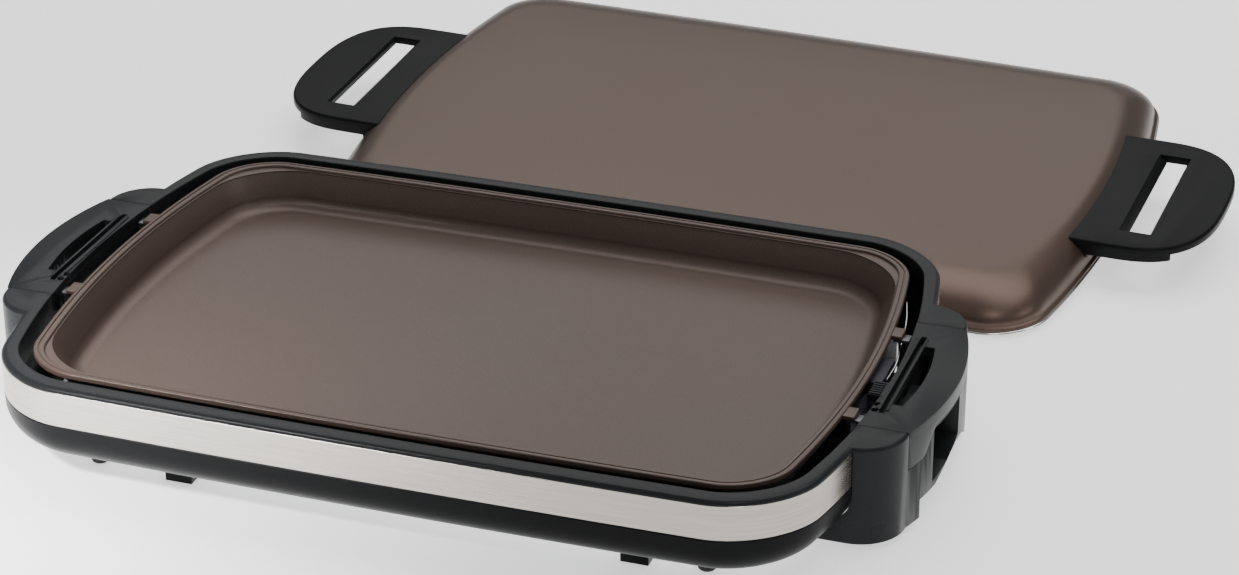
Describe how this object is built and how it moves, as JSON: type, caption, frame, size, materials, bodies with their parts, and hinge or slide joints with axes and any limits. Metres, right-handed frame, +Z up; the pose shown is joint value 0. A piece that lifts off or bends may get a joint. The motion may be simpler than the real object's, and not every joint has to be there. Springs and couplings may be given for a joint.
{
  "type": "electric griddle",
  "caption": "Wide electric griddle with a lift-out non-stick plate in a black guard with end handles, and its domed lid standing behind.",
  "frame": {"origin": "on the floor below the centre of the whole set's bounding box", "axes": "+X along the griddle's length towards its control socket, +Y from the cook's side to the back where the lid stands, +Z up"},
  "size_m": [0.6934, 0.7526, 0.066],
  "materials": {
    "black_plastic": "fine satin moulded phenolic",
    "satin_plastic": "satin moulded phenolic",
    "block_plastic": "matte heat-resistant moulding",
    "brushed_steel": "brushed along its length",
    "bright_steel": "bright",
    "zinc_steel": "zinc plated",
    "bare_aluminium": "bare sheet",
    "plate_coating": "dark brown non-stick coating with a fine sparkle",
    "lid_coating": "metallic brown baked coating",
    "rubber": "matte"
  },
  "bodies": {
    "guard": {"base_shell": "black_plastic", "body_frame": "satin_plastic", "steel_band_front": "brushed_steel", "steel_band_rear": "brushed_steel", "heat_shield_pan": "bare_aluminium", "handle_cover_left": "satin_plastic", "frame_screw_left_front": "zinc_steel", "frame_screw_left_rear": "zinc_steel", "handle_cover_right": "satin_plastic", "frame_screw_right_front": "zinc_steel", "frame_screw_right_rear": "zinc_steel", "plate_rest_front_left": "zinc_steel", "pad_foot_front_left": "black_plastic", "rubber_foot_front_left": "rubber", "plate_rest_front_right": "zinc_steel", "pad_foot_front_right": "black_plastic", "rubber_foot_front_right": "rubber", "plate_rest_rear_left": "zinc_steel", "pad_foot_rear_left": "black_plastic", "rubber_foot_rear_left": "rubber", "plate_rest_rear_right": "zinc_steel", "pad_foot_rear_right": "black_plastic", "rubber_foot_rear_right": "rubber"},
    "plate": {"cooking_plate": "plate_coating", "heating_element": "zinc_steel", "element_clamp_front_1": "zinc_steel", "element_clamp_front_2": "zinc_steel", "element_clamp_front_3": "zinc_steel", "element_clamp_rear_1": "zinc_steel", "element_clamp_rear_2": "zinc_steel", "element_clamp_rear_3": "zinc_steel", "terminal_block": "block_plastic", "terminal_bracket": "zinc_steel", "terminal_pin_front": "bright_steel", "terminal_pin_rear": "bright_steel", "probe_tube": "bright_steel", "terminal_guard_wire": "bright_steel"},
    "lid": {"lid_shell": "lid_coating", "lid_rim_band": "bright_steel", "lid_handle_left": "black_plastic", "lid_screw_left_front": "zinc_steel", "lid_screw_left_rear": "zinc_steel", "lid_handle_right": "black_plastic", "lid_screw_right_front": "zinc_steel", "lid_screw_right_rear": "zinc_steel"}
  },
  "joints": [
    {"name": "plate_lift", "type": "slide", "parent": "guard", "child": "plate", "axis": [0, 0, 1], "range_m": [0, 0.12]},
    {"name": "lid_lift", "type": "slide", "parent": "guard", "child": "lid", "axis": [0, 0, 1], "range_m": [0, 0.15]}
  ]
}
